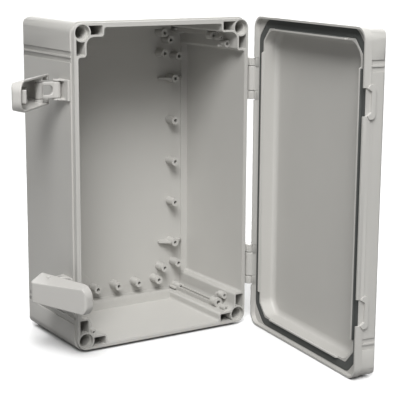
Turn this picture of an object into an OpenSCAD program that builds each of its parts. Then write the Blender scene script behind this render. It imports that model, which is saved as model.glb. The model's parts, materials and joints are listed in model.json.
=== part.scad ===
// Wall-mounted ABS enclosure with a gasketed, side-hinged cover and two draw latches.
// The origin is the centre of the four wall-mount holes on the rear face, -Y is the front and +Z is up.

/* [Box] */
// Outer width of the base and cover
box_w = 174; // [160:1:240]
// Outer height of the base and cover
box_h = 280; // [270:1:360]
// Depth of the base from its rear face to its rim
base_d = 100; // [92:1:160]
// Thickness of the base's side walls
wall = 5; // [4:0.5:6]
// Thickness of the base's rear wall
rear_t = 3.5; // [3:0.5:6]
// Radius of the four long corners
corner_r = 10; // [9:0.5:14]
// Radius of the base's rear edges
rear_r = 5.5; // [2:0.5:5.5]

/* [Rim] */
// Step in of the base's rim, which enters the cover
spigot_in = 1.3; // [1:0.1:1.6]
// Length of the stepped rim
spigot_d = 5.2; // [5.2:0.2:8]

/* [Cover] */
// Depth of the cover from the end of its skirt to its front
cover_d = 20.5; // [19:0.5:30]
// How far the cover's skirt reaches over the base's rim
skirt_len = 3.8; // [3:0.2:4.8]
// Width of the raised band round the cover's open edge
band_w = 6.4; // [5.6:0.2:8]
// How far that band stands proud of the cover's sides
band_proud = 0.9; // [0.7:0.1:1.5]
// Thickness of the cover's front wall
front_t = 2.8; // [2:0.2:5]
// Radius of the cover's front edges
front_r = 3; // [2:0.5:7]
// Running gap between the skirt and the rim
skirt_gap = 0.4; // [0.3:0.05:0.6]

/* [Seal] */
// Width of the gasket's channel in the cover
channel_w = 7.6; // [7:0.2:8]
// Depth of that channel
channel_t = 3.2; // [2:0.2:4]
// Thickness of the rib inside the channel
rib_t = 1.8; // [1.2:0.1:3]
// Height of the lips on the rib, which enter the base between its columns
lip_h = 2.2; // [1.4:0.2:3]
// Corner cut of the gasket's path across the cover
cut_x = 15; // [14:1:26]
// Corner cut of the gasket's path along the cover
cut_z = 16; // [14:1:26]
// Gap between the gasket and the rim when the cover is closed
seal_gap = 0.3; // [0.3:0.05:0.6]

/* [Corner columns] */
// Length of a column's legs along the walls
leg_len = 29; // [26:0.5:34]
// Width of a column's legs
leg_w = 12.6; // [12:0.2:15]
// Distance of the screw bore from the two outer faces
hole_inset = 9; // [8.6:0.1:9.6]
// Diameter of the bore's mouth
mouth_d = 13.2; // [11.5:0.2:13.4]
// Depth of the bore's mouth
mouth_depth = 4; // [3:0.5:12]
// Diameter of the bore below its mouth
bore_d = 10; // [9:0.2:11]
// Diameter of the wall-mount hole through the rear
mount_d = 6.4; // [5:0.1:7]
// Thickness of the seat under the wall-mount screw's head
mount_seat = 8; // [5:1:12]
// Depth of the hollow pockets beside the bore
pocket_depth = 62; // [40:1:80]

/* [Posts] */
// Diameter of the screw posts on the rear wall
post_d = 7.6; // [6.4:0.2:9]
// Diameter of their screw holes
pilot_d = 3.2; // [2.4:0.1:4]
// Length of the posts
post_len = 12.5; // [10:0.5:20]
// Distance of the side posts from the outer side faces
post_in_x = 25; // [22:0.5:27]
// Spacing of the side posts
post_pitch_z = 39.5; // [34:0.5:41]
// Distance of the lower row of posts from the bottom face
post_in_z = 26; // [24:0.5:30]
// Spacing of the lower row of posts
post_pitch_x = 22; // [16:0.5:24]

/* [Grooves] */
// Distance of the outer groove from the top and bottom faces
groove_in = 24; // [22:0.5:30]
// Width of each groove
groove_w = 4; // [2:0.5:5]
// Ridge between the two grooves
groove_ridge = 1.4; // [1:0.2:3]
// Depth of the grooves
groove_t = 0.9; // [0.4:0.1:1.2]

/* [Hinges] */
// Distance of the hinges' middles from the top and bottom faces
hinge_in = 54.5; // [54:0.5:70]
// Length of a hinge
hinge_h = 37; // [32:1:40]
// Length of the cover's knuckle
knuckle_h = 22; // [14:1:24]
// Radius of the hinge's eyes
hinge_r = 4.3; // [3.6:0.1:4.5]
// Distance of the hinge axis outside the side wall
hinge_out = 5.5; // [5.4:0.1:7]
// Distance of the hinge axis behind the rim
hinge_back = 3.4; // [3:0.1:4]
// Diameter of the hinge pins
hinge_pin_d = 4; // [3:0.1:4.4]
// Thickness of the hinge's plates
hinge_plate_t = 2.4; // [1.8:0.1:3]

/* [Latches] */
// Distance of the latches' middles from the top and bottom faces
latch_in = 56; // [52:0.5:72]
// Height of a latch bracket
bracket_h = 17.6; // [17:0.2:17.8]
// Distance of the bracket's pin outside the side wall
latch_out = 6; // [5.8:0.1:6.6]
// Distance of the bracket's pin behind the rim
latch_back = 18; // [16:0.5:22]
// Length of a link between its two pins
link_len = 16.5; // [15:0.5:18]
// Width of a link
link_w = 13.6; // [12:0.2:14]
// Thickness of a link's plate
link_t = 3.6; // [2.6:0.2:4]
// Diameter of the latch pins
latch_pin_d = 3; // [2:0.1:3.4]
// Length of a lever from its pin to its tip
lever_tip = 50; // [47:0.5:56]
// Length of a lever behind its pin
lever_tail = 14; // [11:0.5:16]
// Depth of a lever's shell at its tail
lever_deep = 18; // [15:0.5:22]
// Depth of a lever's shell at its tip
lever_thin = 8; // [7.5:0.5:10]
// Width of a lever at its open rim
lever_w = 25.8; // [25.4:0.2:28]
// Narrowing of a lever from its rim to its outer face at the tail
lever_draft = 9; // [5:0.2:9.4]
// Thickness of a lever's walls
lever_t = 2; // [1.6:0.1:2.2]
// Height of the cover's notch for a latch
notch_h = 22; // [20:0.5:24]
// How far the keeper stands proud of the cover's side
keeper_t = 2; // [1.2:0.1:2.2]
// Width of the keeper
keeper_w = 3.6; // [2.4:0.2:4.4]

/* [Pose] */
// Angle at which the cover stands open
door_open = 83.5; // [0:0.5:160]
// Direction of the upper link, 180 is straight out from the wall
upper_link_dir = 180; // [92:1:195]
// Direction of the upper lever
upper_lever_dir = 224.5; // [205:0.5:270]
// Direction of the lower link
lower_link_dir = 210; // [92:1:214]
// Direction of the lower lever
lower_lever_dir = 285; // [270:0.5:290]

/* [Hidden] */
$fn = 64;

// Colours of the moulded plastic, the seal and the pins
SHELL = [0.74, 0.75, 0.73];
LATCH = [0.82, 0.81, 0.79];
SEAL = [0.24, 0.25, 0.24];
STEEL = [0.62, 0.63, 0.65];

// Room left past a surface by a cut
past = 1;
// Radial clearance of a pin in its eye
pin_fit = 0.05;
// Clearance between parts that turn past each other
run_gap = 0.3;

half_w = box_w / 2;
half_h = box_h / 2;
rim_y = -base_d;
rear_in_y = -rear_t;
skirt_end = rim_y + skirt_len;
band_front = skirt_end - band_w;
cover_front = skirt_end - cover_d;
seal_face = rim_y - seal_gap;
channel_floor = seal_face - channel_t;
tray_floor = cover_front + front_t;
skirt_in = spigot_in - skirt_gap;
channel_in = skirt_in + 0.3;
gasket_side = 0.1;
lip_in = channel_in + channel_w + rib_t / 2;
lip_t = 1.4;

inner_r = corner_r - wall;
boss_fillet = 7;
leg_end_r = 2.5;
ring_t = 1.1;
pocket_out = 3.4;
pocket_wall = 1.4;
pocket_r = 1.4;

hinge_z = half_h - hinge_in;
hinge_x = half_w + hinge_out;
hinge_y = rim_y + hinge_back;
lug_h = (hinge_h - knuckle_h) / 2 - run_gap;
hinge_plate_len = 20;
hinge_plate_y = hinge_y + hinge_r + run_gap;

latch_z = half_h - latch_in;
latch_x = -half_w - latch_out;
latch_y = rim_y + latch_back;
latch_eye_r = 3.6;
link_eye_r = 3.2;
latch_plate_t = 2.4;
bracket_tail = 5.8;
rim_of_lever = 4;
keeper_in = 0.7;
keeper_front = band_front - keeper_in - keeper_w;
closed_link_dir = 92;
closed_pin_y = latch_y + link_len * sin(closed_link_dir);
closed_pin_x = latch_x + link_len * cos(closed_link_dir);
tooth_t = 2.6;
tooth_gap = 0.4;
tooth_start = closed_pin_y - keeper_front + tooth_gap;
tooth_top = -half_w - 0.5 - closed_pin_x;

// Extrudes a profile drawn in X and Z along Y
module along_y(y0, y1) {
    translate([0, y1, 0])
        rotate([90, 0, 0])
            linear_extrude(y1 - y0)
                children();
}

// Extrudes a profile drawn in X and Y along Z
module along_z(z0, z1) {
    translate([0, 0, z0])
        linear_extrude(z1 - z0)
            children();
}

// Mirrors its children only where on is true
module flip(axis, on) {
    if (on) mirror(axis) children();
    else children();
}

// Unit vector from one point to another
function toward(p, q) = (q - p) / norm(q - p);

// Half the angle of a corner between the directions a and b
function half_angle(a, b) = acos(a * b) / 2;

// A convex polygon whose corners are rounded, each by its own radius
module soft_polygon(points, radii) {
    n = len(points);
    before = [for (i = [0 : n - 1]) toward(points[i], points[(i + n - 1) % n])];
    after = [for (i = [0 : n - 1]) toward(points[i], points[(i + 1) % n])];
    turn = [for (i = [0 : n - 1]) half_angle(before[i], after[i])];
    polygon([
        for (i = [0 : n - 1], side = [before[i], after[i]])
            points[i] + side * radii[i] / tan(turn[i])
    ]);
    for (i = [0 : n - 1])
        if (radii[i] > 0)
            translate(points[i] + toward([0, 0], before[i] + after[i]) * radii[i] / sin(turn[i]))
                circle(radii[i]);
}

// A centred rectangle with round corners
module rounded_rect(w, h, r) {
    soft_polygon([[-w, -h] / 2, [w, -h] / 2, [w, h] / 2, [-w, h] / 2], [r, r, r, r]);
}

// A rectangle from y_flat to y_round, with the two corners at y_round rounded
module end_rounded(w, y_flat, y_round, r) {
    soft_polygon(
        [[-w / 2, y_flat], [w / 2, y_flat], [w / 2, y_round], [-w / 2, y_round]],
        [0, 0, r, r]);
}

// A block with rounded long corners and with the edges at y_round rounded too
module soft_box(w, h, r, y_flat, y_round, edge_r) {
    intersection() {
        along_y(min(y_flat, y_round), max(y_flat, y_round)) rounded_rect(w, h, r);
        along_z(-h / 2, h / 2) end_rounded(w, y_flat, y_round, edge_r);
        rotate([0, 90, 0]) along_z(-w / 2, w / 2) end_rounded(h, y_flat, y_round, edge_r);
    }
}

// Places a profile that is drawn inwards from the lower left corner in each of the four corners
module each_corner_2d() {
    for (sx = [-1, 1], sz = [-1, 1])
        translate([sx * half_w, sz * half_h])
            flip([1, 0], sx > 0) flip([0, 1], sz > 0) children();
}

// The same for solids, which can ask whether their corner is an upper one
module each_corner() {
    for (sx = [-1, 1], sz = [-1, 1]) {
        $upper = sz > 0;
        translate([sx * half_w, 0, sz * half_h])
            flip([1, 0, 0], sx > 0) flip([0, 0, 1], sz > 0) children();
    }
}

// Runs its children at each of the two heights above and below the middle
module each_height(z) {
    for (s = [-1, 1]) translate([0, 0, s * z]) children();
}

// Two parallel grooves near the top and the bottom of both side faces
module side_grooves(y0, y1) {
    first_z = half_h - groove_in - groove_w / 2;
    for (s = [-1, 1], t = [-1, 1], i = [0, 1])
        translate([s * half_w, (y0 + y1) / 2, t * (first_z - i * (groove_w + groove_ridge))])
            cube([2 * groove_t, y1 - y0, groove_w], center = true);
}

// One leg of a corner column, with a fillet where its end meets the wall
module column_leg() {
    soft_polygon([[0, 0], [leg_len, 0], [leg_len, leg_w], [0, leg_w]], [0, 0, leg_end_r, 0]);
    difference() {
        translate([leg_len - past, wall - past]) square(leg_end_r + past);
        translate([leg_len + leg_end_r, wall + leg_end_r]) circle(leg_end_r);
    }
}

// Plan of one corner column: two legs and the fillet between them
module column_plan() {
    column_leg();
    mirror([1, -1]) column_leg();
    difference() {
        square(leg_w + boss_fillet);
        translate([leg_w + boss_fillet, leg_w + boss_fillet]) circle(boss_fillet);
    }
}

// The hollow pockets of one corner column, which leave a ring round its bore
module column_pockets() {
    far = leg_len - pocket_wall;
    in = leg_w - pocket_wall;
    for (turn = [false, true])
        flip([1, -1], turn)
            difference() {
                soft_polygon(
                    [[hole_inset, pocket_out], [far, pocket_out], [far, in], [hole_inset, in]],
                    [0, pocket_r / 2, pocket_r, 0]);
                translate([hole_inset, hole_inset]) circle(mouth_d / 2 + ring_t);
            }
}

// The stepped bore of one corner column, open at the front and through to the rear
module column_bore() {
    translate([hole_inset, 0, hole_inset])
        rotate([90, 0, 0]) {
            translate([0, 0, base_d - mouth_depth]) cylinder(d = mouth_d, h = mouth_depth + past);
            translate([0, 0, mount_seat]) cylinder(d = bore_d, h = base_d);
            translate([0, 0, -past]) cylinder(d = mount_d, h = base_d);
        }
}

// Bosses over the leg along the bottom or top: place along the leg, height over it, distance of
// the face behind the rim, diameter and length
lower_bosses = [[18.6, 4.2, 17, 9, 9], [18.6, 1.8, 4.5, 4.6, 8]];
upper_bosses = [[18.6, 5, 29, 7, 9], [18.6, 6.2, 17, 4.2, 8]];
side_boss_in = 24;
side_boss_d = 6.4;
side_boss_len = 8;
side_boss_y = 13;
side_wing_z = 1;
rail_w = 1.6;
rail_apart = 5;
rail_lower = 0.4;
foot_h = 3;
foot_d = 7;
foot_wing = 6;

// A boss over a leg, with a web from its closed end down to the leg
module leg_boss(b) {
    translate([b[0], rim_y + b[2] + b[4], leg_w + b[1]]) screw_boss(b[3], b[4], b[3] * 0.45);
    translate([b[0] - rail_w / 2, rim_y + b[2] + b[4] * 0.7, leg_w - past])
        cube([rail_w, b[4] * 0.2, b[1] + past]);
}

// Screw bosses on a column's two inner faces, with two rails that lead to the rear wall
module column_bosses(bosses) {
    for (b = bosses) leg_boss(b);
    long = bosses[0];
    rail_start = rim_y + long[2] + long[4] * 0.8;
    for (s = [-1, 1])
        translate([long[0] + s * rail_apart / 2 - rail_w / 2, rail_start, leg_w - past])
            cube([rail_w, rear_in_y - rail_start + past, long[1] - rail_lower + past]);
    translate([long[0], rear_in_y, leg_w + foot_h]) {
        screw_boss(foot_d, post_len, pilot_d);
        for (s = [0, 1])
            mirror([s, 0, 0])
                translate([pilot_d, -post_len * 0.8, -rail_w])
                    cube([foot_wing - pilot_d, post_len * 0.8 + past, rail_w]);
    }
    // boss with a flat wing on the leg along the side
    translate([leg_w + side_boss_d / 3, rim_y + side_boss_y + side_boss_len, side_boss_in]) {
        screw_boss(side_boss_d, side_boss_len, side_boss_d * 0.45);
        translate([-side_boss_d, -side_boss_len * 0.3, side_wing_z])
            cube([2 * side_boss_d, side_boss_len * 0.2, rail_w]);
    }
}

// A round boss that points forward from y = 0, with a blind screw hole
module screw_boss(d, length, hole_d) {
    rotate([90, 0, 0])
        difference() {
            cylinder(d = d, h = length);
            translate([0, 0, length / 3]) cylinder(d = hole_d, h = length);
        }
}

// A screw post of the rear wall
module screw_post() {
    screw_boss(post_d, post_len, pilot_d);
}

wing_t = 2;
wing_len = 12.5;
wing_top = 10;
wing_side = 3;

// Two tapered wings that brace a post sideways
module post_wings() {
    translate([0, 0, -wing_t / 2])
        linear_extrude(wing_t)
            polygon([[-wing_len, 0], [-wing_len, -wing_side], [-post_d / 2, -wing_top],
                [post_d / 2, -wing_top], [wing_len, -wing_side], [wing_len, 0]]);
}

corner_post_x = 36.5;
corner_post_z = 37;
brace_post_x = 21;
brace_post_z = 40;
upper_posts = [[36.8, 18], [30, 24.6]];

// All screw posts on the rear wall, with their bases on the plane y = 0
module rear_posts() {
    side_x = half_w - post_in_x;
    for (s = [-1, 1]) {
        for (i = [-2 : 2]) translate([s * side_x, 0, i * post_pitch_z]) screw_post();
        for (t = [-1, 1]) {
            translate([s * side_x, 0, 2 * t * post_pitch_z]) post_wings_bored();
            translate([s * (half_w - corner_post_x), 0, t * (half_h - corner_post_z)]) screw_post();
            translate([s * (half_w - brace_post_x), 0, t * (half_h - brace_post_z)]) screw_post();
        }
        for (p = upper_posts) translate([s * (half_w - p[0]), 0, half_h - p[1]]) screw_post();
    }
    for (i = [-2 : 2]) translate([i * post_pitch_x, 0, post_in_z - half_h]) screw_post();
}

// The wings of a post, clear of its screw hole
module post_wings_bored() {
    difference() {
        post_wings();
        rotate([90, 0, 0]) translate([0, 0, post_len / 3]) cylinder(d = pilot_d, h = post_len);
    }
}

ledge_h = 9.5;
ledge_d = 9;
pad_w = 7;
pad_t = 0.8;

// Ledges where the floor and the ceiling meet the rear wall, and flat pads along the side walls
module rear_ledges() {
    span_x = box_w - 2 * leg_len + 2 * past;
    span_z = box_h - 2 * leg_len + 2 * past;
    for (s = [-1, 1]) {
        translate([0, rear_in_y - ledge_d / 2 + past / 2, s * (half_h - wall - ledge_h / 2 + past / 2)])
            cube([span_x, ledge_d + past, ledge_h + past], center = true);
        translate([s * (half_w - wall - pad_w / 2 + past / 2), rear_in_y - pad_t / 2 + past / 2, 0])
            cube([pad_w + past, pad_t + past, span_z], center = true);
    }
}

// Base: open box with corner columns, rear posts and a stepped rim
module base() {
    color(SHELL)
        difference() {
            union() {
                difference() {
                    soft_box(box_w, box_h, corner_r, rim_y, 0, rear_r);
                    along_y(rim_y - past, rear_in_y)
                        difference() {
                            rounded_rect(box_w - 2 * wall, box_h - 2 * wall, inner_r);
                            each_corner_2d() column_plan();
                        }
                }
                intersection() {
                    soft_box(box_w, box_h, corner_r, rim_y, 0, rear_r);
                    union() {
                        rear_ledges();
                        each_corner() column_bosses($upper ? upper_bosses : lower_bosses);
                        translate([0, rear_in_y, 0]) rear_posts();
                    }
                }
            }
            along_y(rim_y - past, rim_y + spigot_d)
                difference() {
                    square([box_w + past, box_h + past], center = true);
                    rounded_rect(box_w - 2 * spigot_in, box_h - 2 * spigot_in, corner_r - spigot_in);
                }
            along_y(rim_y - past, rim_y + pocket_depth) each_corner_2d() column_pockets();
            each_corner() column_bore();
            side_grooves(rim_y + spigot_d, past);
        }
}

// Turns a piece of the closed cover to its open pose
module opened() {
    translate([hinge_x, hinge_y, 0])
        rotate([0, 0, door_open])
            translate([-hinge_x, -hinge_y, 0]) children();
}

// Area inside the gasket's path, at a distance in from the cover's outer faces
module seal_area(inset) {
    slope = norm([cut_x, cut_z]);
    hx = half_w - inset;
    hz = half_h - inset;
    // the corner line keeps parallel to itself as the area shrinks
    shift = inset - channel_in;
    line = cut_z * (half_w - channel_in) + cut_x * (half_h - channel_in) - cut_x * cut_z - shift * slope;
    px = (line - cut_x * hz) / cut_z;
    pz = (line - cut_z * hx) / cut_x;
    r = seal_r - shift;
    soft_polygon(
        [[px, -hz], [hx, -pz], [hx, pz], [px, hz], [-px, hz], [-hx, pz], [-hx, -pz], [-px, -hz]],
        [r, r, r, r, r, r, r, r]);
}

seal_r = 11;
keeper_arm = 2.6;
keeper_r = 3.6;
notch_through = 2.6;
notch_skin = 0.8;
notch_web_h = 3;

// Raised keeper round a latch notch on the cover's left side
module keeper() {
    half = notch_h / 2 + keeper_arm;
    translate([-half_w - keeper_t, 0, 0])
        rotate([0, 90, 0])
            linear_extrude(keeper_t + past)
                soft_polygon(
                    [[-half, keeper_front], [half, keeper_front],
                        [half, band_front + past], [-half, band_front + past]],
                    [keeper_r, keeper_r, 0, 0]);
}

// Notch behind a keeper: through the skirt's edge, then down to a thin skin with a sloped web at each end
module latch_notch() {
    deep = keeper_t + past + skirt_in;
    half = notch_h / 2;
    web_half = half - notch_web_h;
    through_y = skirt_end - notch_through;
    bar_y = band_front - keeper_in;
    translate([-half_w - keeper_t - past, through_y, -half]) cube([deep, notch_through + past, notch_h]);
    translate([-half_w - keeper_t - past, 0, 0])
        rotate([0, 90, 0])
            linear_extrude(deep - notch_skin)
                polygon([[-half, skirt_end + past], [half, skirt_end + past], [half, through_y],
                    [web_half, bar_y], [-web_half, bar_y], [-half, through_y]]);
}

// Section of a lip along its run of the given half length, with sloped ends
module lip_section(half) {
    root = seal_face - past;
    top = seal_face + lip_h;
    polygon([[-half, root], [half, root], [half - lip_h, top], [lip_h - half, top]]);
}

// Four lips on the rib, one along each side, which stop short of the base's columns
module seal_lips() {
    for (s = [-1, 1]) {
        translate([s * (half_w - lip_in) - lip_t / 2, 0, 0])
            rotate([0, 90, 0])
                linear_extrude(lip_t) lip_section(half_h - leg_len);
        translate([0, 0, s * (half_h - lip_in) - lip_t / 2])
            linear_extrude(lip_t) lip_section(half_w - leg_len);
    }
}

// Cover in its closed place
module closed_cover() {
    seal_lips();
    difference() {
        union() {
            soft_box(box_w, box_h, corner_r, band_front + past, cover_front, front_r);
            along_y(band_front, skirt_end)
                rounded_rect(box_w + 2 * band_proud, box_h + 2 * band_proud, corner_r + band_proud);
            each_height(latch_z) keeper();
        }
        along_y(seal_face, skirt_end + past)
            rounded_rect(box_w - 2 * skirt_in, box_h - 2 * skirt_in, corner_r - skirt_in);
        along_y(channel_floor, skirt_end)
            difference() {
                seal_area(channel_in);
                seal_area(channel_in + channel_w);
            }
        along_y(tray_floor, skirt_end) seal_area(channel_in + channel_w + rib_t);
        // notches for the latches on the left and for the hinges on the right
        each_height(latch_z) latch_notch();
        each_height(hinge_z)
            translate([half_w - skirt_in, band_front, -hinge_h / 2 - 2 * run_gap])
                cube([band_proud + skirt_in + past, band_w + past, hinge_h + 4 * run_gap]);
        side_grooves(cover_front - past, band_front);
    }
}

// Cover: shallow tray with a skirt, a gasket channel and keepers for the latches
module cover() {
    color(SHELL) opened() closed_cover();
}

// Gasket in the cover's channel
module gasket() {
    color(SEAL)
        opened()
            along_y(channel_floor, seal_face - gasket_side)
                difference() {
                    seal_area(channel_in + gasket_side);
                    seal_area(channel_in + channel_w - gasket_side);
                }
}

// Bore for a pin along Z
module pin_bore(d, h) {
    cylinder(d = d + 2 * pin_fit, h = h + 2 * past, center = true);
}

// Hinge half on the base: a plate on the right wall with two eyes
module hinge_bracket(z) {
    color(SHELL)
        translate([0, 0, z])
            difference() {
                union() {
                    translate([half_w, hinge_plate_y, -hinge_h / 2])
                        cube([hinge_plate_t, hinge_plate_len, hinge_h]);
                    for (s = [-1, 1])
                        translate([0, 0, s * (hinge_h - lug_h) / 2])
                            linear_extrude(lug_h, center = true) {
                                translate([hinge_x, hinge_y]) circle(hinge_r);
                                polygon([[half_w, hinge_y], [hinge_x, hinge_y], [hinge_x + hinge_r, hinge_y],
                                    [half_w + hinge_plate_t, hinge_plate_y + hinge_plate_len * 0.8],
                                    [half_w, hinge_plate_y + hinge_plate_len * 0.8]]);
                            }
                }
                translate([hinge_x, hinge_y, 0]) pin_bore(hinge_pin_d, hinge_h);
            }
}

leaf_h = 30;
leaf_len = 8;

// Hinge half on the cover: a plate on the right side with one knuckle
module hinge_leaf(z) {
    color(SHELL)
        opened()
            translate([0, 0, z])
                difference() {
                    union() {
                        translate([half_w, band_front - leaf_len, -leaf_h / 2])
                            cube([hinge_plate_t, leaf_len - run_gap, leaf_h]);
                        linear_extrude(knuckle_h, center = true) {
                            translate([hinge_x, hinge_y]) circle(hinge_r);
                            polygon([[half_w, hinge_y], [hinge_x, hinge_y], [hinge_x + hinge_r, hinge_y],
                                [half_w + hinge_plate_t, band_front - leaf_len],
                                [half_w, band_front - leaf_len]]);
                        }
                    }
                    translate([hinge_x, hinge_y, 0]) pin_bore(hinge_pin_d, hinge_h);
                }
}

// Hinge pin through both halves
module hinge_pin(z) {
    color(STEEL)
        translate([hinge_x, hinge_y, z]) cylinder(d = hinge_pin_d, h = hinge_h, center = true);
}

// Latch bracket: a plate on the left wall with two ears for the link's pin
module latch_bracket(z) {
    ear_t = (bracket_h - link_w) / 2 - run_gap;
    color(LATCH)
        translate([0, 0, z])
            difference() {
                union() {
                    translate([-half_w - latch_plate_t, rim_y + spigot_d, -bracket_h / 2])
                        cube([latch_plate_t, latch_back - spigot_d + bracket_tail, bracket_h]);
                    for (s = [-1, 1])
                        translate([0, 0, s * (bracket_h - ear_t) / 2])
                            linear_extrude(ear_t, center = true) {
                                translate([latch_x, latch_y]) circle(latch_eye_r);
                                polygon([[-half_w, latch_y + bracket_tail], [latch_x, latch_y + latch_eye_r],
                                    [latch_x, latch_y - latch_eye_r], [-half_w, latch_y - 2 * bracket_tail]]);
                            }
                }
                translate([latch_x, latch_y, 0]) pin_bore(latch_pin_d, bracket_h);
            }
}

// Pin of the latch bracket
module latch_pin(z) {
    color(STEEL)
        translate([latch_x, latch_y, z]) cylinder(d = latch_pin_d, h = bracket_h, center = true);
}

// Place of a link: from the bracket's pin in the given direction
module at_link(z, dir) {
    translate([latch_x, latch_y, z]) rotate([0, 0, dir]) children();
}

window_len = 9;
window_h = 8;

// Link: a plate with an eye at each end and a D-shaped window
module link(z, dir) {
    color(LATCH)
        at_link(z, dir)
            difference() {
                linear_extrude(link_w, center = true) {
                    circle(link_eye_r);
                    translate([link_len, 0]) circle(link_eye_r);
                    translate([0, -link_t / 2]) square([link_len, link_t]);
                }
                rotate([90, 0, 0])
                    translate([link_len - link_eye_r - window_len, 0, 0])
                        linear_extrude(3 * link_t, center = true)
                            soft_polygon(
                                [[0, -window_h / 2], [window_len, -window_h / 2],
                                    [window_len, window_h / 2], [0, window_h / 2]],
                                [3.6, 1, 1, 3.6]);
                pin_bore(latch_pin_d, link_w);
                translate([link_len, 0, 0]) pin_bore(latch_pin_d, link_w);
            }
}

// Place of a lever: its pin at the end of the link, its tip in the given direction
module at_lever(z, link_dir, dir) {
    at_link(z, link_dir)
        translate([link_len, 0, 0]) rotate([0, 0, dir - link_dir]) children();
}

tail_slant = 5;
tip_r = 10;

// Outer form of a lever, made smaller all round by t and open past its rim by up
module lever_form(t, up) {
    rim = rim_of_lever + up;
    narrow = lever_draft / 2 / lever_deep;
    rim_half = lever_w / 2 + up * narrow - t;
    face_half = (lever_w - lever_draft) / 2 - t;
    intersection() {
        linear_extrude(lever_w + 2 * past, center = true)
            soft_polygon(
                [[-lever_tail + t, rim], [lever_tip - t, rim],
                    [lever_tip - t, rim_of_lever - lever_thin + t],
                    [-lever_tail + tail_slant + t, rim_of_lever - lever_deep + t]],
                [0, 0, 2.5 - t, 4.5 - t]);
        translate([-lever_tail - past, 0, 0])
            rotate([90, 0, 90])
                linear_extrude(lever_tip + lever_tail + 2 * past)
                    polygon([[rim, -rim_half], [rim, rim_half],
                        [rim_of_lever - lever_deep, face_half], [rim_of_lever - lever_deep, -face_half]]);
        rotate([90, 0, 0])
            linear_extrude(4 * lever_deep, center = true)
                soft_polygon(
                    [[-lever_tail - past, -lever_w / 2 + t], [lever_tip - t, -lever_w / 2 + t],
                        [lever_tip - t, lever_w / 2 - t], [-lever_tail - past, lever_w / 2 - t]],
                    [0, tip_r - t, tip_r - t, 0]);
    }
}

tail_wall_h = 8;
tooth_half = 5.5;
lever_eye_r = 3.4;
brace_len = 20;
brace_t = 1.2;
brace_turn = 34;

// Lever: a tapered shell that hooks the cover with a tooth near its tip
module lever(z, link_dir, dir) {
    tail_open = lever_deep - tail_wall_h;
    color(LATCH)
        at_lever(z, link_dir, dir)
            difference() {
                union() {
                    difference() {
                        lever_form(0, 0);
                        lever_form(lever_t, past);
                        // the tail is open where the link passes
                        translate([-lever_tail - past, rim_of_lever - tail_open, -link_w / 2 - 2 * run_gap])
                            cube([lever_tail, tail_open + past, link_w + 4 * run_gap]);
                    }
                    intersection() {
                        lever_form(0, lever_deep);
                        union() {
                            lever_eyes();
                            translate([tooth_start, -lever_deep, -tooth_half])
                                cube([tooth_t, lever_deep + tooth_top, 2 * tooth_half]);
                            // two crossed ribs in the hollow behind the tooth
                            for (s = [-1, 1])
                                translate([tooth_start - brace_len * 0.45, 0, 0])
                                    rotate([0, s * brace_turn, 0])
                                        translate([-brace_len / 2, -lever_deep, -brace_t / 2])
                                            cube([brace_len, lever_deep, brace_t]);
                        }
                    }
                }
                pin_bore(latch_pin_d, 2 * lever_w);
            }
}

// Eyes for the lever's pin, on the inner sides of its walls
module lever_eyes() {
    eye_in = link_w / 2 + run_gap;
    for (s = [-1, 1])
        translate([0, 0, s * (eye_in + lever_w / 4)])
            cylinder(r = lever_eye_r, h = lever_w / 2, center = true);
}

// Pin between a link and its lever
module lever_pin(z, dir) {
    span = lever_w - 2 * rim_of_lever * lever_draft / 2 / lever_deep - 2;
    color(STEEL)
        at_link(z, dir)
            translate([link_len, 0, 0]) cylinder(d = latch_pin_d, h = span, center = true);
}

base();
cover();
gasket();
hinge_bracket(hinge_z);  // upper_hinge_bracket
hinge_bracket(-hinge_z);  // lower_hinge_bracket
hinge_leaf(hinge_z);  // upper_hinge_leaf
hinge_leaf(-hinge_z);  // lower_hinge_leaf
hinge_pin(hinge_z);  // upper_hinge_pin
hinge_pin(-hinge_z);  // lower_hinge_pin
latch_bracket(latch_z);  // upper_latch_bracket
latch_bracket(-latch_z);  // lower_latch_bracket
latch_pin(latch_z);  // upper_latch_pin
latch_pin(-latch_z);  // lower_latch_pin
link(latch_z, upper_link_dir);  // upper_link
link(-latch_z, lower_link_dir);  // lower_link
lever_pin(latch_z, upper_link_dir);  // upper_lever_pin
lever_pin(-latch_z, lower_link_dir);  // lower_lever_pin
lever(latch_z, upper_link_dir, upper_lever_dir);  // upper_lever
lever(-latch_z, lower_link_dir, lower_lever_dir);  // lower_lever
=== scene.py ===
import json
import math

import bmesh
import bpy
from mathutils import Matrix, Vector

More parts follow.
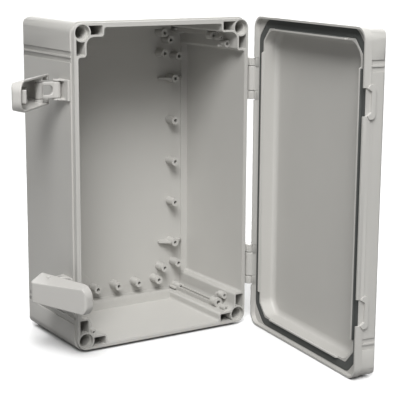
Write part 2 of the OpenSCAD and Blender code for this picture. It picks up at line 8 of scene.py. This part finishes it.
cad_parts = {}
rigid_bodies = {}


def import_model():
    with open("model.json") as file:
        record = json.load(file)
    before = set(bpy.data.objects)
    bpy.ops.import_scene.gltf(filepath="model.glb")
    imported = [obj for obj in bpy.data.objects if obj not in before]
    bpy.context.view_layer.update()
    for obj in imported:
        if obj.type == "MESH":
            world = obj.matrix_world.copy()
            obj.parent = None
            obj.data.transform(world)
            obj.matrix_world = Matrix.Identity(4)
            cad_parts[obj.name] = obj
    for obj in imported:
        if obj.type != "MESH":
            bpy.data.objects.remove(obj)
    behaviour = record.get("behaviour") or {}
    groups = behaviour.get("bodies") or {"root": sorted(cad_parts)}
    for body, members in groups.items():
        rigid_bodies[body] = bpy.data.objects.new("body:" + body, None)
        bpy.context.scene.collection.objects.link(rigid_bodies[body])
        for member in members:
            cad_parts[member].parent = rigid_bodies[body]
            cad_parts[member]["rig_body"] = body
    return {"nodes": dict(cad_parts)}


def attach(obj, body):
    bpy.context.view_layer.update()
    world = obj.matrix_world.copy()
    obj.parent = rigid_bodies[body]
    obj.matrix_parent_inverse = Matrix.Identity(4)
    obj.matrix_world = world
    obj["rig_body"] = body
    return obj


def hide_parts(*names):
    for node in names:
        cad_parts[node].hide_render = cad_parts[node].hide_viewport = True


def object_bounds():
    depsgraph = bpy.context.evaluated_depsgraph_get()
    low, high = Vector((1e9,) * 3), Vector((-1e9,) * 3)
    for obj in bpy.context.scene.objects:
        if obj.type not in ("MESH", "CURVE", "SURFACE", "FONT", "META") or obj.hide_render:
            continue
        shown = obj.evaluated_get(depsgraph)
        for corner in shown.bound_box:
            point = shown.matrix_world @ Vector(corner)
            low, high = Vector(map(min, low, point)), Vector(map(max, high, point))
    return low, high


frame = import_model()
cad_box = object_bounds()


# Base
# An open box moulded in light grey ABS, with four hollow corner columns, screw posts on its
# rear wall and a stepped rim. The tool's fine spark texture covers its faces, and every edge
# leaves the tool with a small radius.
SHELL_GREY = (0.5, 0.491, 0.466, 1)
SHELL_EDGE = 0.0006
PLASTIC_IOR = 1.52
GRAIN_STRENGTH = 0.5
FLOW_PER_METRE = 9
FLOW_RANGE = (0.3, 0.7)
JOIN_WITHIN = 2e-6
FLAT_WITHIN = math.radians(1)
EDGE_FROM = math.radians(35)
EDGE_STEPS, BROAD_EDGE_STEPS = 2, 5


def moulded_grain():
    """Shader group for the tool's spark texture and the faint flow tones of moulded plastic."""
    group = bpy.data.node_groups.new("moulded_grain", "ShaderNodeTree")
    face = group.interface
    for name, kind, value in (("Grain per metre", "NodeSocketFloat", 2600.0),
                              ("Tone", "NodeSocketColor", (0.5, 0.5, 0.5, 1)),
                              ("Tone change", "NodeSocketFloat", 0.05),
                              ("Roughness", "NodeSocketFloat", 0.5)):
        face.new_socket(name, in_out="INPUT", socket_type=kind).default_value = value
    for name, kind in (("Colour", "NodeSocketColor"), ("Roughness", "NodeSocketFloat"),
                       ("Grain height", "NodeSocketFloat")):
        face.new_socket(name, in_out="OUTPUT", socket_type=kind)
    nodes, links = group.nodes, group.links
    source, result = nodes.new("NodeGroupInput"), nodes.new("NodeGroupOutput")
    place = nodes.new("ShaderNodeTexCoord")

    # the spark texture
    grain = nodes.new("ShaderNodeTexNoise")
    grain.inputs["Detail"].default_value = 2
    links.new(place.outputs["Object"], grain.inputs["Vector"])
    links.new(source.outputs["Grain per metre"], grain.inputs["Scale"])
    links.new(grain.outputs["Fac"], result.inputs["Grain height"])

    # broad tones left by the melt as it fills the tool
    flow = nodes.new("ShaderNodeTexNoise")
    flow.inputs["Scale"].default_value = FLOW_PER_METRE
    flow.inputs["Detail"].default_value = 3
    links.new(place.outputs["Object"], flow.inputs["Vector"])
    spread = nodes.new("ShaderNodeMapRange")
    spread.inputs["From Min"].default_value = FLOW_RANGE[0]
    spread.inputs["From Max"].default_value = FLOW_RANGE[1]
    links.new(flow.outputs["Fac"], spread.inputs["Value"])
    share = nodes.new("ShaderNodeMath")
    share.operation = "MULTIPLY"
    links.new(spread.outputs["Result"], share.inputs[0])
    links.new(source.outputs["Tone change"], share.inputs[1])
    darker = nodes.new("ShaderNodeMix")
    darker.data_type = "RGBA"
    darker.blend_type = "MULTIPLY"
    darker.inputs["B"].default_value = (0.0, 0.0, 0.0, 1)
    links.new(share.outputs["Value"], darker.inputs["Factor"])
    links.new(source.outputs["Tone"], darker.inputs["A"])
    links.new(darker.outputs["Result"], result.inputs["Colour"])
    duller = nodes.new("ShaderNodeMath")
    duller.operation = "ADD"
    links.new(share.outputs["Value"], duller.inputs[0])
    links.new(source.outputs["Roughness"], duller.inputs[1])
    links.new(duller.outputs["Value"], result.inputs["Roughness"])
    return group


GRAIN = moulded_grain()


def moulded_plastic(name, colour, roughness, grain_per_metre, grain_depth, tone_change):
    """A moulded plastic or rubber with the tool's texture on it."""
    material = bpy.data.materials.new(name)
    material.use_nodes = True
    nodes, links = material.node_tree.nodes, material.node_tree.links
    shader = nodes["Principled BSDF"]
    shader.inputs["IOR"].default_value = PLASTIC_IOR
    grain = nodes.new("ShaderNodeGroup")
    grain.node_tree = GRAIN
    grain.inputs["Tone"].default_value = colour
    grain.inputs["Roughness"].default_value = roughness
    grain.inputs["Grain per metre"].default_value = grain_per_metre
    grain.inputs["Tone change"].default_value = tone_change
    bump = nodes.new("ShaderNodeBump")
    bump.inputs["Strength"].default_value = GRAIN_STRENGTH
    bump.inputs["Distance"].default_value = grain_depth
    links.new(grain.outputs["Colour"], shader.inputs["Base Color"])
    links.new(grain.outputs["Roughness"], shader.inputs["Roughness"])
    links.new(grain.outputs["Grain height"], bump.inputs["Height"])
    links.new(bump.outputs["Normal"], shader.inputs["Normal"])
    return material


def joined(node, name):
    """A renamed copy of a CAD node's mesh, and a build of it with its loose triangles joined."""
    mesh = frame["nodes"][node].data.copy()
    mesh.name = name
    build = bmesh.new()
    build.from_mesh(mesh)
    bmesh.ops.remove_doubles(build, verts=build.verts, dist=JOIN_WITHIN)
    return mesh, build


def made(name, mesh, build, material):
    """The object that a build describes, in one material, as a part of the scene."""
    build.to_mesh(mesh)
    build.free()
    mesh.materials.clear()
    mesh.materials.append(material)
    piece = bpy.data.objects.new(name, mesh)
    bpy.context.scene.collection.objects.link(piece)
    return piece


def softened(node, name, edge, material, broad=None, broad_edge=0.0):
    """A copy of a CAD node with joined faces and rounded edges, which stands for it.

    Edges for which broad returns true get the larger radius broad_edge.
    """
    mesh, build = joined(node, name)
    bmesh.ops.dissolve_limit(build, angle_limit=FLAT_WITHIN, verts=build.verts, edges=build.edges)
    if broad:
        weight = build.edges.layers.float.new("bevel_weight_edge")
        for line in build.edges:
            line[weight] = 1.0 if broad(line) else 0.0
    piece = made(name, mesh, build, material)
    mesh.shade_smooth()
    mesh.set_sharp_from_angle(angle=EDGE_FROM)
    if broad:
        round_over = piece.modifiers.new("broad edge radius", "BEVEL")
        round_over.width = broad_edge
        round_over.segments = BROAD_EDGE_STEPS
        round_over.limit_method = "WEIGHT"
    round_off = piece.modifiers.new("edge radius", "BEVEL")
    round_off.width = edge
    round_off.segments = EDGE_STEPS
    round_off.limit_method = "ANGLE"
    round_off.angle_limit = EDGE_FROM
    round_off.harden_normals = True
    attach(piece, frame["nodes"][node]["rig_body"])
    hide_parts(node)
    return piece


shell_plastic = moulded_plastic("light grey ABS", SHELL_GREY, roughness=0.46,
                                grain_per_metre=2600, grain_depth=0.00002, tone_change=0.05)
base = softened("base", "base_moulding", SHELL_EDGE, shell_plastic)


# Hinges
# Two grey ABS hinges on the right wall and the cover's side. Each has two eyes on the base, one
# knuckle on the cover and a drawn steel pin through all three. The ends of the eyes carry fine
# moulded ridges.
STEEL_GREY = (0.5, 0.5, 0.5, 1)
STEEL_ROUGHNESS = (0.28, 0.44)
DRAW_MARKS_PER_METRE = 900
DRAW_MARKS_STRETCH = (1, 1, 0.05)
HINGE_PIN_EDGE = 0.0003
HINGE_VOXEL = 0.0004
ROUNDING, ROUNDING_TURNS = 0.5, 12
KEPT_FACES = 0.3


def drawn_steel():
    """Steel with fine marks along the pin, left by the drawing die, which change its gloss."""
    material = bpy.data.materials.new("drawn steel")
    material.use_nodes = True
    nodes, links = material.node_tree.nodes, material.node_tree.links
    shader = nodes["Principled BSDF"]
    shader.inputs["Base Color"].default_value = STEEL_GREY
    shader.inputs["Metallic"].default_value = 1
    place = nodes.new("ShaderNodeTexCoord")
    stretch = nodes.new("ShaderNodeMapping")
    stretch.inputs["Scale"].default_value = DRAW_MARKS_STRETCH
    links.new(place.outputs["Object"], stretch.inputs["Vector"])
    marks = nodes.new("ShaderNodeTexNoise")
    marks.inputs["Scale"].default_value = DRAW_MARKS_PER_METRE
    marks.inputs["Detail"].default_value = 3
    links.new(stretch.outputs["Vector"], marks.inputs["Vector"])
    gloss = nodes.new("ShaderNodeMapRange")
    gloss.inputs["To Min"].default_value = STEEL_ROUGHNESS[0]
    gloss.inputs["To Max"].default_value = STEEL_ROUGHNESS[1]
    links.new(marks.outputs["Fac"], gloss.inputs["Value"])
    links.new(gloss.outputs["Result"], shader.inputs["Roughness"])
    return material


def settled(piece):
    """Turns a piece and its modifiers into one plain mesh, and returns that mesh."""
    draft = piece.data
    graph = bpy.context.evaluated_depsgraph_get()
    mesh = bpy.data.meshes.new_from_object(piece.evaluated_get(graph))
    piece.modifiers.clear()
    piece.data = mesh
    bpy.data.meshes.remove(draft)
    mesh.name = piece.name
    return mesh


def hand_rounded(node, name, voxel, material):
    """A copy of a CAD node whose edges are all rounded over, which stands for it."""
    mesh, build = joined(node, name)
    piece = made(name, mesh, build, material)
    even = piece.modifiers.new("even mesh", "REMESH")
    even.mode = "VOXEL"
    even.voxel_size = voxel
    round_over = piece.modifiers.new("round edges", "SMOOTH")
    round_over.factor = ROUNDING
    round_over.iterations = ROUNDING_TURNS
    fewer = piece.modifiers.new("fewer faces", "DECIMATE")
    fewer.ratio = KEPT_FACES
    settled(piece).shade_smooth()
    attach(piece, frame["nodes"][node]["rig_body"])
    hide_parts(node)
    return piece


steel = drawn_steel()
for level in ("upper", "lower"):
    for half in ("bracket", "leaf"):
        piece = hand_rounded(f"{level}_hinge_{half}", f"{level}_hinge_{half}_moulding",
                             HINGE_VOXEL, shell_plastic)
    pin = softened(f"{level}_hinge_pin", f"{level}_hinge_pin_turned", HINGE_PIN_EDGE, steel)

HINGE_X, HINGE_Y, HINGE_Z = 0.0925, -0.0966, 0.0855
EYE_RADIUS = 0.0043
DOOR_OPEN = math.radians(83.5)
hinge_axis = Vector((HINGE_X, HINGE_Y, 0))
door_swing = (Matrix.Translation(hinge_axis) @ Matrix.Rotation(DOOR_OPEN, 4, "Z")
              @ Matrix.Translation(-hinge_axis))
RIDGES = 5
RIDGE_RADIUS, RIDGE_LENGTH = 0.00045, 0.0044
RIDGE_SUNK = 0.0001
RIDGE_FIRST, RIDGE_FAN = math.radians(205), math.radians(104)
RIDGE_FACETS = 16
RIDGE_FROM_MIDDLE = 0.0158
CREASE_FROM = math.radians(50)


def piece_nodes(name, sizes):
    """A Geometry Nodes group with named inputs for a piece's sizes and material, and its input."""
    group = bpy.data.node_groups.new(name, "GeometryNodeTree")
    face = group.interface
    face.new_socket("Geometry", in_out="INPUT", socket_type="NodeSocketGeometry")
    for size, kind in sizes:
        face.new_socket(size, in_out="INPUT", socket_type=kind)
    face.new_socket("Material", in_out="INPUT", socket_type="NodeSocketMaterial")
    face.new_socket("Geometry", in_out="OUTPUT", socket_type="NodeSocketGeometry")
    return group, group.nodes.new("NodeGroupInput")


def painted(group, source, shape):
    """Ends a piece's group: the shape is made real and takes the piece's material."""
    nodes, links = group.nodes, group.links
    real = nodes.new("GeometryNodeRealizeInstances")
    links.new(shape, real.inputs["Geometry"])
    paint = nodes.new("GeometryNodeSetMaterial")
    links.new(real.outputs["Geometry"], paint.inputs["Geometry"])
    links.new(source.outputs["Material"], paint.inputs["Material"])
    result = nodes.new("NodeGroupOutput")
    links.new(paint.outputs["Geometry"], result.inputs["Geometry"])


def ridge_nodes():
    """Geometry Nodes group that sets a fan of straight ridges on the front of each hinge eye."""
    group, source = piece_nodes("hinge_ridges", (
        ("Ridges", "NodeSocketInt"), ("Eye radius", "NodeSocketFloat"),
        ("First angle", "NodeSocketFloat"), ("Fan angle", "NodeSocketFloat"),
        ("Ridge radius", "NodeSocketFloat"), ("Ridge length", "NodeSocketFloat")))
    nodes, links = group.nodes, group.links
    arc = nodes.new("GeometryNodeCurveArc")
    links.new(source.outputs["Ridges"], arc.inputs["Resolution"])
    links.new(source.outputs["Eye radius"], arc.inputs["Radius"])
    links.new(source.outputs["First angle"], arc.inputs["Start Angle"])
    links.new(source.outputs["Fan angle"], arc.inputs["Sweep Angle"])
    bar = nodes.new("GeometryNodeMeshCylinder")
    bar.inputs["Vertices"].default_value = RIDGE_FACETS
    links.new(source.outputs["Ridge radius"], bar.inputs["Radius"])
    links.new(source.outputs["Ridge length"], bar.inputs["Depth"])
    fan = nodes.new("GeometryNodeInstanceOnPoints")
    links.new(arc.outputs["Curve"], fan.inputs["Points"])
    links.new(bar.outputs["Mesh"], fan.inputs["Instance"])
    eyes = nodes.new("GeometryNodeInstanceOnPoints")
    links.new(source.outputs["Geometry"], eyes.inputs["Points"])
    links.new(fan.outputs["Instances"], eyes.inputs["Instance"])
    painted(group, source, eyes.outputs["Instances"])
    return group


def grown(name, points, lines, group, settings):
    """A plain mesh object made from a few points by a Geometry Nodes group with its settings."""
    seed = bpy.data.meshes.new(name + "_points")
    seed.from_pydata(points, lines, [])
    piece = bpy.data.objects.new(name, seed)
    bpy.context.scene.collection.objects.link(piece)
    maker = piece.modifiers.new(name, "NODES")
    maker.node_group = group
    for item in group.interface.items_tree:
        if item.in_out == "INPUT" and item.name in settings:
            maker[item.identifier] = settings[item.name]
    mesh = settled(piece)
    mesh.shade_smooth()
    mesh.set_sharp_from_angle(angle=CREASE_FROM)
    return piece


eye_ends = [(HINGE_X, HINGE_Y, side * HINGE_Z + end * RIDGE_FROM_MIDDLE)
            for side in (1, -1) for end in (1, -1)]
ridges = grown("hinge_ridges", eye_ends, [], ridge_nodes(), {
    "Ridges": RIDGES, "Eye radius": EYE_RADIUS - RIDGE_SUNK, "First angle": RIDGE_FIRST,
    "Fan angle": RIDGE_FAN, "Ridge radius": RIDGE_RADIUS, "Ridge length": RIDGE_LENGTH,
    "Material": shell_plastic})
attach(ridges, frame["nodes"]["upper_hinge_bracket"]["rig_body"])

# thin webs on the cover, which close its notches beside each knuckle and carry upright teeth
WEB_X = (HINGE_X - 0.0054, HINGE_X - 0.00475)
TOOTH_X = (HINGE_X - 0.0066, HINGE_X - 0.0053)
WEB_Y = (-0.1024, -0.0972)
WEB_FROM_MIDDLE = (0.0109, 0.0193)
TEETH, TOOTH_WIDTH = 4, 0.0007
TOOTH_PITCH = (WEB_Y[1] - WEB_Y[0] - TOOTH_WIDTH) / (TEETH - 1)
WEB_EDGE, WEB_EDGE_STEPS = 0.00015, 2


def on_open_cover(name, build, material):
    """A piece that is modelled on the closed cover, swung open with it."""
    mesh = bpy.data.meshes.new(name)
    piece = made(name, mesh, build, material)
    mesh.transform(door_swing)
    mesh.shade_smooth()
    mesh.set_sharp_from_angle(angle=CREASE_FROM)
    return piece


def rounded_bars(spans_of_bars, edge, steps):
    """A build of separate bars with rounded edges, from each bar's spans along X, Y and Z."""
    build = bmesh.new()
    for spans in spans_of_bars:
        middle = Vector([sum(span) / 2 for span in spans])
        size = [span[1] - span[0] for span in spans]
        place = Matrix.Translation(middle) @ Matrix.Diagonal((*size, 1))
        bmesh.ops.create_cube(build, size=1, matrix=place)
    bmesh.ops.bevel(build, geom=build.edges[:], offset=edge, segments=steps, affect="EDGES",
                    profile=0.5)
    return build


web_bars = []
for side in (1, -1):
    for end in (1, -1):
        web_z = sorted(side * HINGE_Z + end * reach for reach in WEB_FROM_MIDDLE)
        web_bars.append((WEB_X, WEB_Y, web_z))
        for tooth in range(TEETH):
            tooth_y = WEB_Y[0] + tooth * TOOTH_PITCH
            web_bars.append((TOOTH_X, (tooth_y, tooth_y + TOOTH_WIDTH), web_z))
webs = on_open_cover("hinge_webs", rounded_bars(web_bars, WEB_EDGE, WEB_EDGE_STEPS), shell_plastic)
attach(webs, frame["nodes"]["cover"]["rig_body"])


# Cover
# A shallow tray of the same ABS with a proud band round its open edge, a channel for the seal
# with a lipped rib inside it, and a raised keeper for each latch. It swings on the two hinges.
KEEPER_FACE_X, KEEPER_FACE_WITHIN = -0.089, 0.0001
KEEPER_EDGE = 0.0009
door_closed = door_swing.inverted()


def keeper_edges(line):
    """Tells which edges of the cover bound the proud face of a keeper."""
    return all((door_closed @ vert.co).x < KEEPER_FACE_X + KEEPER_FACE_WITHIN
               for vert in line.verts)


cover = softened("cover", "cover_moulding", SHELL_EDGE, shell_plastic, keeper_edges, KEEPER_EDGE)

HALF_WIDTH, HALF_HEIGHT = 0.087, 0.140
CHANNEL_IN, CHANNEL_WIDTH, RIB_THICK = 0.0012, 0.0076, 0.0018
CUT_ACROSS, CUT_ALONG = 0.015, 0.016
RIB_TOP_Y, TRAY_FLOOR_Y = -0.1003, -0.1139
BEND_RADIUS, BEND_STEPS = 0.0115, 6
COVE_ACROSS, COVE_UP, COVE_STEPS = 0.0055, 0.004, 10
COVE_OFF_RIB, COVE_BELOW_TOP = 0.00005, 0.00002
COVE_IN_FLOOR, COVE_IN_RIB, COVE_BACK_BELOW_TOP = 0.0005, 0.0009, 0.0004


def seal_corners(inset):
    """The eight corners of an outline on the cover that keeps parallel to the seal's channel."""
    side_x, side_z = HALF_WIDTH - inset, HALF_HEIGHT - inset
    cut_line = (CUT_ALONG * (HALF_WIDTH - CHANNEL_IN) + CUT_ACROSS * (HALF_HEIGHT - CHANNEL_IN)
                - CUT_ACROSS * CUT_ALONG
                - (inset - CHANNEL_IN) * math.hypot(CUT_ACROSS, CUT_ALONG))
    cut_x = (cut_line - CUT_ACROSS * side_z) / CUT_ALONG
    cut_z = (cut_line - CUT_ALONG * side_x) / CUT_ACROSS
    return [Vector(corner) for corner in (
        (cut_x, -side_z), (side_x, -cut_z), (side_x, cut_z), (cut_x, side_z),
        (-cut_x, side_z), (-side_x, cut_z), (-side_x, -cut_z), (-cut_x, -side_z))]


def bent(corners, radius):
    """The outline through the corners with each bend rounded, as a list of points."""
    points = []
    for i, corner in enumerate(corners):
        back = (corners[i - 1] - corner).normalized()
        on = (corners[(i + 1) % len(corners)] - corner).normalized()
        half = back.angle(on) / 2
        middle = corner + (back + on).normalized() * radius / math.sin(half)
        start = corner + back * radius / math.tan(half) - middle
        end = corner + on * radius / math.tan(half) - middle
        for step in range(BEND_STEPS + 1):
            points.append(middle + start.slerp(end, step / BEND_STEPS).normalized() * radius)
    return points


# the wall inside the rib runs into the tray's floor in a wide cove
cove = [(COVE_OFF_RIB, RIB_TOP_Y - COVE_BELOW_TOP)]
for step in range(COVE_STEPS + 1):
    sweep = math.pi / 2 * step / COVE_STEPS
    cove.append((COVE_OFF_RIB + COVE_ACROSS * (1 - math.cos(sweep)),
                 TRAY_FLOOR_Y + COVE_UP * (1 - math.sin(sweep))))
cove += [(COVE_ACROSS, TRAY_FLOOR_Y - COVE_IN_FLOOR),
         (-COVE_IN_RIB, TRAY_FLOOR_Y - COVE_IN_FLOOR),
         (-COVE_IN_RIB, RIB_TOP_Y - COVE_BACK_BELOW_TOP)]
build = bmesh.new()
rings = []
for inward, y in cove:
    corners = seal_corners(CHANNEL_IN + CHANNEL_WIDTH + RIB_THICK + inward)
    rings.append([build.verts.new((x, y, z)) for x, z in bent(corners, BEND_RADIUS - inward)])
for k, ring in enumerate(rings):
    after = rings[(k + 1) % len(rings)]
    for i in range(len(ring)):
        j = (i + 1) % len(ring)
        build.faces.new((ring[i], ring[j], after[j], after[i]))
bmesh.ops.recalc_face_normals(build, faces=build.faces)
tray_cove = on_open_cover("tray_cove", build, shell_plastic)
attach(tray_cove, frame["nodes"]["cover"]["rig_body"])


# Gasket
# A closed ring of dark grey foam rubber with a flat face and rounded edges, laid in the cover's
# channel. It fills the channel almost from wall to wall, and its inner edge climbs the rib.
SEAL_GREY = (0.085, 0.09, 0.086, 1)
SEAL_WIDTH, SEAL_HEIGHT = 0.0074, 0.0031
SEAL_EDGE, SEAL_EDGE_STEPS = 0.0007, 5
SEAL_BEND, SEAL_BEND_STEPS = 0.0072, 8
SEAL_MIDDLE_Y = -0.10195
seal_rubber = moulded_plastic("dark foam rubber", SEAL_GREY, roughness=0.7,
                              grain_per_metre=1800, grain_depth=0.00005, tone_change=0.15)


def seal_nodes():
    """Geometry Nodes group that sweeps a flat section with round edges along a bent closed path."""
    group, source = piece_nodes("seal_sweep", [
        (size, "NodeSocketFloat") for size in ("Corner radius", "Width", "Height", "Edge radius")])
    nodes, links = group.nodes, group.links
    path = nodes.new("GeometryNodeMeshToCurve")
    links.new(source.outputs["Geometry"], path.inputs["Mesh"])
    bend = nodes.new("GeometryNodeFilletCurve")
    bend.mode = "POLY"
    bend.inputs["Count"].default_value = SEAL_BEND_STEPS
    links.new(path.outputs["Curve"], bend.inputs["Curve"])
    links.new(source.outputs["Corner radius"], bend.inputs["Radius"])
    level = nodes.new("GeometryNodeSetCurveNormal")
    level.mode = "Z_UP"
    links.new(bend.outputs["Curve"], level.inputs["Curve"])
    flat = nodes.new("GeometryNodeCurvePrimitiveQuadrilateral")
    links.new(source.outputs["Width"], flat.inputs["Width"])
    links.new(source.outputs["Height"], flat.inputs["Height"])
    soft = nodes.new("GeometryNodeFilletCurve")
    soft.mode = "POLY"
    soft.inputs["Count"].default_value = SEAL_EDGE_STEPS
    links.new(flat.outputs["Curve"], soft.inputs["Curve"])
    links.new(source.outputs["Edge radius"], soft.inputs["Radius"])
    sweep = nodes.new("GeometryNodeCurveToMesh")
    links.new(level.outputs["Curve"], sweep.inputs["Curve"])
    links.new(soft.outputs["Curve"], sweep.inputs["Profile Curve"])
    painted(group, source, sweep.outputs["Mesh"])
    return group


# the path lies flat while it is swept, and is then stood up in the cover
seal_path = [(x, z, -SEAL_MIDDLE_Y) for x, z in seal_corners(CHANNEL_IN + CHANNEL_WIDTH / 2)]
seal_lines = [(i, (i + 1) % len(seal_path)) for i in range(len(seal_path))]
gasket = grown("gasket_ring", seal_path, seal_lines, seal_nodes(), {
    "Corner radius": SEAL_BEND, "Width": SEAL_WIDTH, "Height": SEAL_HEIGHT,
    "Edge radius": SEAL_EDGE, "Material": seal_rubber})
gasket.data.transform(door_swing @ Matrix.Rotation(math.pi / 2, 4, "X"))
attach(gasket, frame["nodes"]["gasket"]["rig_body"])
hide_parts("gasket")

# the raised inner edge, which climbs the lips on the rib and stops short of the base's columns
CLIMB_INSET = (0.0082, 0.0091)
CLIMB_Y = (-0.1008, -0.0987)
CLIMB_FROM_CORNER = 0.0312
CLIMB_EDGE, CLIMB_EDGE_STEPS = 0.0003, 3
climb_x = HALF_WIDTH - CLIMB_FROM_CORNER
climb_z = HALF_HEIGHT - CLIMB_FROM_CORNER
climb_bars = []
for side in (1, -1):
    across = sorted(side * (HALF_WIDTH - inset) for inset in CLIMB_INSET)
    along = sorted(side * (HALF_HEIGHT - inset) for inset in CLIMB_INSET)
    climb_bars.append((across, CLIMB_Y, (-climb_z, climb_z)))
    climb_bars.append(((-climb_x, climb_x), CLIMB_Y, along))
gasket_edge = on_open_cover("gasket_edge", rounded_bars(climb_bars, CLIMB_EDGE, CLIMB_EDGE_STEPS),
                            seal_rubber)
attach(gasket_edge, frame["nodes"]["gasket"]["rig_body"])


# Draw latches
# Each latch is a bracket on the left wall, a link with a D-shaped window and a hollow lever with
# a hook. They are moulded in a smooth pale plastic, with edges rounded for the hand, and turn on
# steel pins.
LATCH_GREY = (0.49, 0.479, 0.457, 1)
LATCH_VOXEL = 0.0004
LATCH_PIN_EDGE = 0.0002
latch_plastic = moulded_plastic("pale latch plastic", LATCH_GREY, roughness=0.38,
                                grain_per_metre=4000, grain_depth=0.000006, tone_change=0.03)
for level in ("upper", "lower"):
    for node in ("latch_bracket", "link", "lever"):
        piece = hand_rounded(f"{level}_{node}", f"{level}_{node}_moulding",
                             LATCH_VOXEL, latch_plastic)
    for node in ("latch_pin", "lever_pin"):
        pin = softened(f"{level}_{node}", f"{level}_{node}_turned", LATCH_PIN_EDGE, steel)


# Studio
# A plain pale floor, a round lamp near the object, broad soft lights from above the camera, from
# overhead and from behind, weak light from all round, and a camera at the photograph's viewing
# angle.
FLOOR_REACH = 14
FLOOR_DROP = 0.0005
FLOOR_ROUGHNESS = 0.9
FLOOR_SEEN, FLOOR_LIT = (0.94, 0.94, 0.94, 1), (0.3, 0.3, 0.3, 1)
floor_z = cad_box[0].z - FLOOR_DROP
floor_mesh = bpy.data.meshes.new("floor")
floor_mesh.from_pydata([(-FLOOR_REACH, -FLOOR_REACH, floor_z), (FLOOR_REACH, -FLOOR_REACH, floor_z),
                        (FLOOR_REACH, FLOOR_REACH, floor_z), (-FLOOR_REACH, FLOOR_REACH, floor_z)],
                       [], [(0, 1, 2, 3)])
floor = bpy.data.objects.new("floor", floor_mesh)
bpy.context.scene.collection.objects.link(floor)
floor_paint = bpy.data.materials.new("pale floor")
floor_paint.use_nodes = True
nodes, links = floor_paint.node_tree.nodes, floor_paint.node_tree.links
floor_shader = nodes["Principled BSDF"]
floor_shader.inputs["Roughness"].default_value = FLOOR_ROUGHNESS
# the floor looks pale to the camera and returns little light, as in a dark studio
floor_ray = nodes.new("ShaderNodeLightPath")
floor_tone = nodes.new("ShaderNodeMix")
floor_tone.data_type = "RGBA"
floor_tone.inputs["A"].default_value = FLOOR_LIT
floor_tone.inputs["B"].default_value = FLOOR_SEEN
links.new(floor_ray.outputs["Is Camera Ray"], floor_tone.inputs["Factor"])
links.new(floor_tone.outputs["Result"], floor_shader.inputs["Base Color"])
floor_mesh.materials.append(floor_paint)

# the air beyond the floor's edge looks as pale as the floor and gives only weak light
AIR_SEEN, AIR_LIT = 1, 0.08
world = bpy.data.worlds.new("studio air")
world.use_nodes = True
nodes, links = world.node_tree.nodes, world.node_tree.links
air = nodes["Background"]
air.inputs["Color"].default_value = (1, 1, 1, 1)
air_ray = nodes.new("ShaderNodeLightPath")
air_level = nodes.new("ShaderNodeMapRange")
air_level.inputs["To Min"].default_value = AIR_LIT
air_level.inputs["To Max"].default_value = AIR_SEEN
links.new(air_ray.outputs["Is Camera Ray"], air_level.inputs["Value"])
links.new(air_level.outputs["Result"], air.inputs["Strength"])
bpy.context.scene.world = world

KEY_TURN, KEY_RISE = math.radians(32), math.radians(41)
LIGHT_DISTANCE = 3


def looking(turn, tilt):
    """The direction of a look from the front, turned to the right and tilted down."""
    return Vector((math.sin(turn) * math.cos(tilt), math.cos(turn) * math.cos(tilt),
                   -math.sin(tilt)))


def soft_light(name, strength, spread, aim):
    """A distant soft light that shines along aim, over a spread in degrees."""
    data = bpy.data.lights.new(name, "SUN")
    data.energy = strength
    data.angle = math.radians(spread)
    light = bpy.data.objects.new(name, data)
    light.location = -LIGHT_DISTANCE * aim
    light.rotation_euler = aim.to_track_quat("-Z", "Y").to_euler()
    bpy.context.scene.collection.objects.link(light)


soft_light("broad key", strength=1.5, spread=34, aim=looking(KEY_TURN, KEY_RISE))

# a round lamp near the object, up at the front left, whose light falls off towards the cover
LAMP_PLACE = Vector((-0.45, -0.75, 0.9))
LAMP_WIDTH, LAMP_WATTS = 0.5, 9.5
lamp_data = bpy.data.lights.new("near lamp", "AREA")
lamp_data.shape = "DISK"
lamp_data.size = LAMP_WIDTH
lamp_data.energy = LAMP_WATTS
lamp = bpy.data.objects.new("near lamp", lamp_data)
lamp.location = LAMP_PLACE
lamp.rotation_euler = LAMP_PLACE.to_track_quat("Z", "Y").to_euler()
lamp.visible_camera = False
bpy.context.scene.collection.objects.link(lamp)

soft_light("overhead light", strength=1.3, spread=80, aim=Vector((0.05, 0.12, -1)))
soft_light("rear light", strength=2.2, spread=50, aim=Vector((-0.6, -0.7, -0.5)))

CAMERA_LENS, CAMERA_SENSOR = 108.7, 36
CAMERA_PLACE = Vector((-0.52799, -0.98317, 0.19694))
CAMERA_TURN, CAMERA_TILT, CAMERA_ROLL = (math.radians(a) for a in (32.573, 11.668, 0.369))
camera_data = bpy.data.cameras.new("photo camera")
camera_data.lens = CAMERA_LENS
camera_data.sensor_width = CAMERA_SENSOR
camera = bpy.data.objects.new("photo camera", camera_data)
bpy.context.scene.collection.objects.link(camera)
ahead = looking(CAMERA_TURN, CAMERA_TILT)
right = Vector((math.cos(CAMERA_TURN), -math.sin(CAMERA_TURN), 0))
up = right.cross(ahead)
camera_right = math.cos(CAMERA_ROLL) * right + math.sin(CAMERA_ROLL) * up
camera_up = math.cos(CAMERA_ROLL) * up - math.sin(CAMERA_ROLL) * right
camera.matrix_world = Matrix((
    (camera_right.x, camera_up.x, -ahead.x, CAMERA_PLACE.x),
    (camera_right.y, camera_up.y, -ahead.y, CAMERA_PLACE.y),
    (camera_right.z, camera_up.z, -ahead.z, CAMERA_PLACE.z),
    (0, 0, 0, 1)))
bpy.context.scene.camera = camera
bpy.context.scene.view_settings.view_transform = "Standard"
